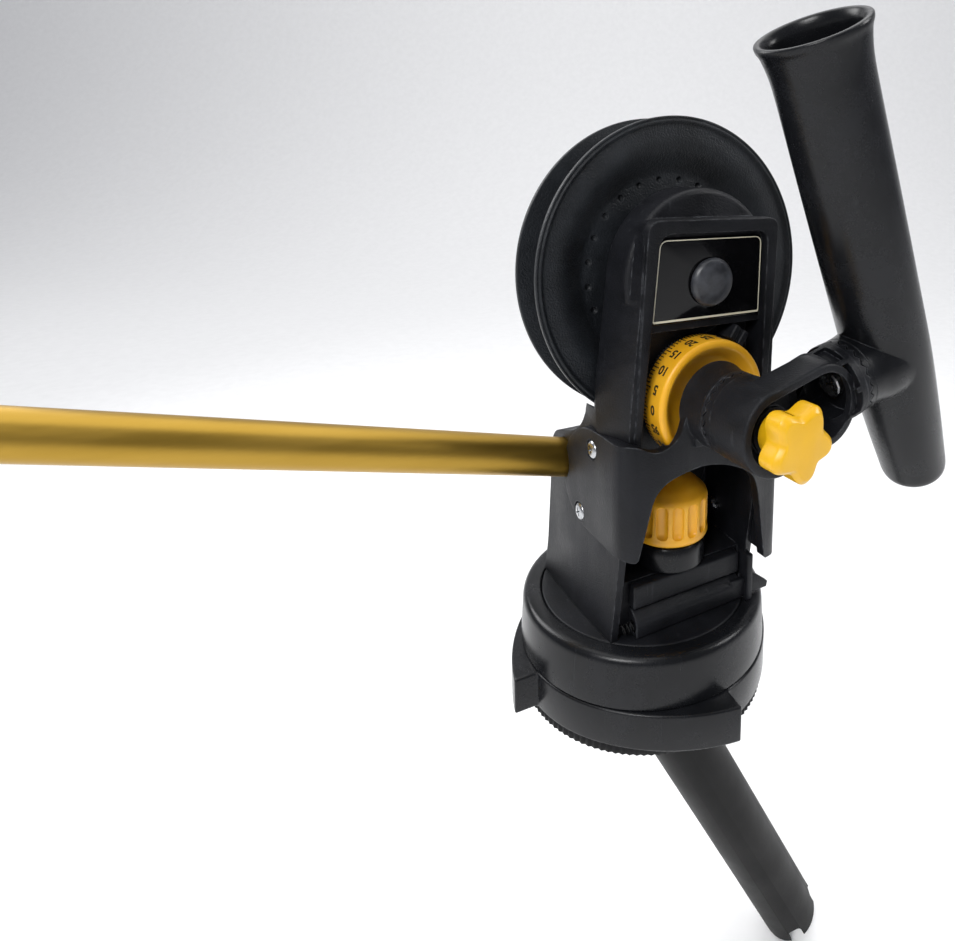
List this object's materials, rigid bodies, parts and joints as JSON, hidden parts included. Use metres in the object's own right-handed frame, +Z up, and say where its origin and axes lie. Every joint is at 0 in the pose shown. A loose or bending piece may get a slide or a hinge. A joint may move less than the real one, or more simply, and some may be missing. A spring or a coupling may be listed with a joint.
{
  "type": "downrigger",
  "caption": "Manual downrigger with a dished spool, amber depth dial, gold boom, adjustable rod holder and swivel base on a slanted rod-holder stem.",
  "frame": {"origin": "where the stem's axis meets the swivel's vertical axis, under the index plate", "axes": "+Z up along the swivel's axis, -Y towards the counter side, boom pointing to -X, stem slanting down to +X"},
  "size_m": [0.7845, 0.2229, 0.6241],
  "materials": {
    "black_nylon": "satin, fine moulded grain",
    "grey_acetal": "smooth satin",
    "grey_cap": "satin",
    "gloss_black": "gloss, cream border",
    "amber_plastic": "satin moulded",
    "lemon_plastic": "satin moulded",
    "gold_anodised": "drawn, gold anodised",
    "black_anodised": "matte black anodised",
    "bush_brass": "turned",
    "stainless": "bright"
  },
  "bodies": {
    "base": {"stem_tube": "black_anodised", "stem_set_screw": "stainless", "index_plate": "black_nylon", "base_screw_1": "stainless", "base_screw_2": "stainless", "base_screw_3": "stainless", "base_cap": "black_nylon", "slip_ring": "grey_acetal", "pivot_insert": "bush_brass", "pivot_bolt": "stainless", "pivot_washer": "stainless"},
    "lock_ring": {"lock_ring": "black_nylon"},
    "housing": {"turntable": "black_nylon", "foot_screw_1": "stainless", "foot_screw_2": "stainless", "foot_screw_3": "stainless", "housing": "black_nylon", "latch_guide": "black_nylon", "latch_spring": "stainless", "saddle_bracket": "black_nylon", "cheek_screw_1": "stainless", "cheek_screw_2": "stainless", "cheek_screw_3": "stainless", "cheek_screw_4": "stainless", "cheek_nut_1": "stainless", "cheek_nut_2": "stainless", "cheek_nut_3": "stainless", "cheek_nut_4": "stainless", "knob_collar": "black_nylon", "name_plate": "gloss_black", "axle_cap": "grey_cap", "spool_axle": "stainless", "dial_screw": "stainless", "index_pointer": "black_nylon", "elbow_bolt": "stainless", "boom_tube": "gold_anodised", "boom_head": "black_nylon", "pulley_pin": "stainless", "boom_clamp_screw": "stainless"},
    "release_latch": {"release_latch": "black_nylon"},
    "lock_knob": {"lock_knob": "amber_plastic", "lock_stud": "stainless"},
    "spool": {"spool": "black_nylon", "front_bush": "bush_brass", "back_bush": "bush_brass", "counter_finger": "stainless", "drag_washer": "grey_acetal", "crank_arm": "black_anodised", "crank_pin": "stainless"},
    "crank_grip": {"crank_grip": "black_nylon"},
    "drag_knob": {"drag_knob": "black_nylon"},
    "dial": {"depth_dial": "amber_plastic", "counter_wheel": "grey_acetal"},
    "elbow": {"elbow": "black_nylon", "elbow_washer": "stainless"},
    "star_knob": {"star_knob": "lemon_plastic"},
    "rod_holder": {"rod_holder": "black_nylon", "neck_bolt": "stainless", "neck_nut": "stainless"},
    "boom_pulley": {"boom_pulley": "grey_acetal"}
  },
  "joints": [
    {"name": "lock_ring_turn", "type": "hinge", "parent": "base", "child": "lock_ring", "pos_m": [0, 0, 0.023], "axis": [0, 0, 1], "range_deg": [0, 30]},
    {"name": "swivel", "type": "hinge", "parent": "base", "child": "housing", "pos_m": [0, 0, 0.06], "axis": [0, 0, 1], "continuous": true},
    {"name": "latch_slide", "type": "slide", "parent": "housing", "child": "release_latch", "axis": [-1, 0, 0], "range_m": [0, 0.006], "stiffness_N_per_m": 300, "springref_m": -0.006, "deforming": ["latch_spring"]},
    {"name": "lock_knob_turn", "type": "hinge", "parent": "housing", "child": "lock_knob", "pos_m": [0, -0.026, 0.115], "axis": [0, 0, 1], "range_deg": [0, 360]},
    {"name": "spool_turn", "type": "hinge", "parent": "housing", "child": "spool", "pos_m": [0, -0.0197, 0.2474], "axis": [0, -1, 0], "continuous": true},
    {"name": "grip_turn", "type": "hinge", "parent": "spool", "child": "crank_grip", "pos_m": [0.066, 0.034, 0.2474], "axis": [0, -1, 0], "continuous": true},
    {"name": "drag_knob_turn", "type": "hinge", "parent": "housing", "child": "drag_knob", "pos_m": [0, 0.02, 0.2474], "axis": [0, -1, 0], "range_deg": [0, 360]},
    {"name": "dial_turn", "type": "hinge", "parent": "housing", "child": "dial", "pos_m": [0, -0.056, 0.1866], "axis": [0, -1, 0], "continuous": true},
    {"name": "elbow_tilt", "type": "hinge", "parent": "housing", "child": "elbow", "pos_m": [0, -0.084, 0.1866], "axis": [0, 1, 0], "range_deg": [-45, 15]},
    {"name": "star_knob_turn", "type": "hinge", "parent": "housing", "child": "star_knob", "pos_m": [0, -0.122, 0.1866], "axis": [0, -1, 0], "range_deg": [0, 360]},
    {"name": "rod_holder_turn", "type": "hinge", "parent": "elbow", "child": "rod_holder", "pos_m": [0.05216, -0.098, 0.20058], "axis": [0.9659, 0, 0.2588], "range_deg": [0, 45]},
    {"name": "pulley_turn", "type": "hinge", "parent": "housing", "child": "boom_pulley", "pos_m": [-0.61964, 0.008, 0.28768], "axis": [0, -1, 0], "continuous": true}
  ],
  "couplings": [
    {"joint": "dial_turn", "follows": "spool_turn", "ratio": -0.01}
  ]
}
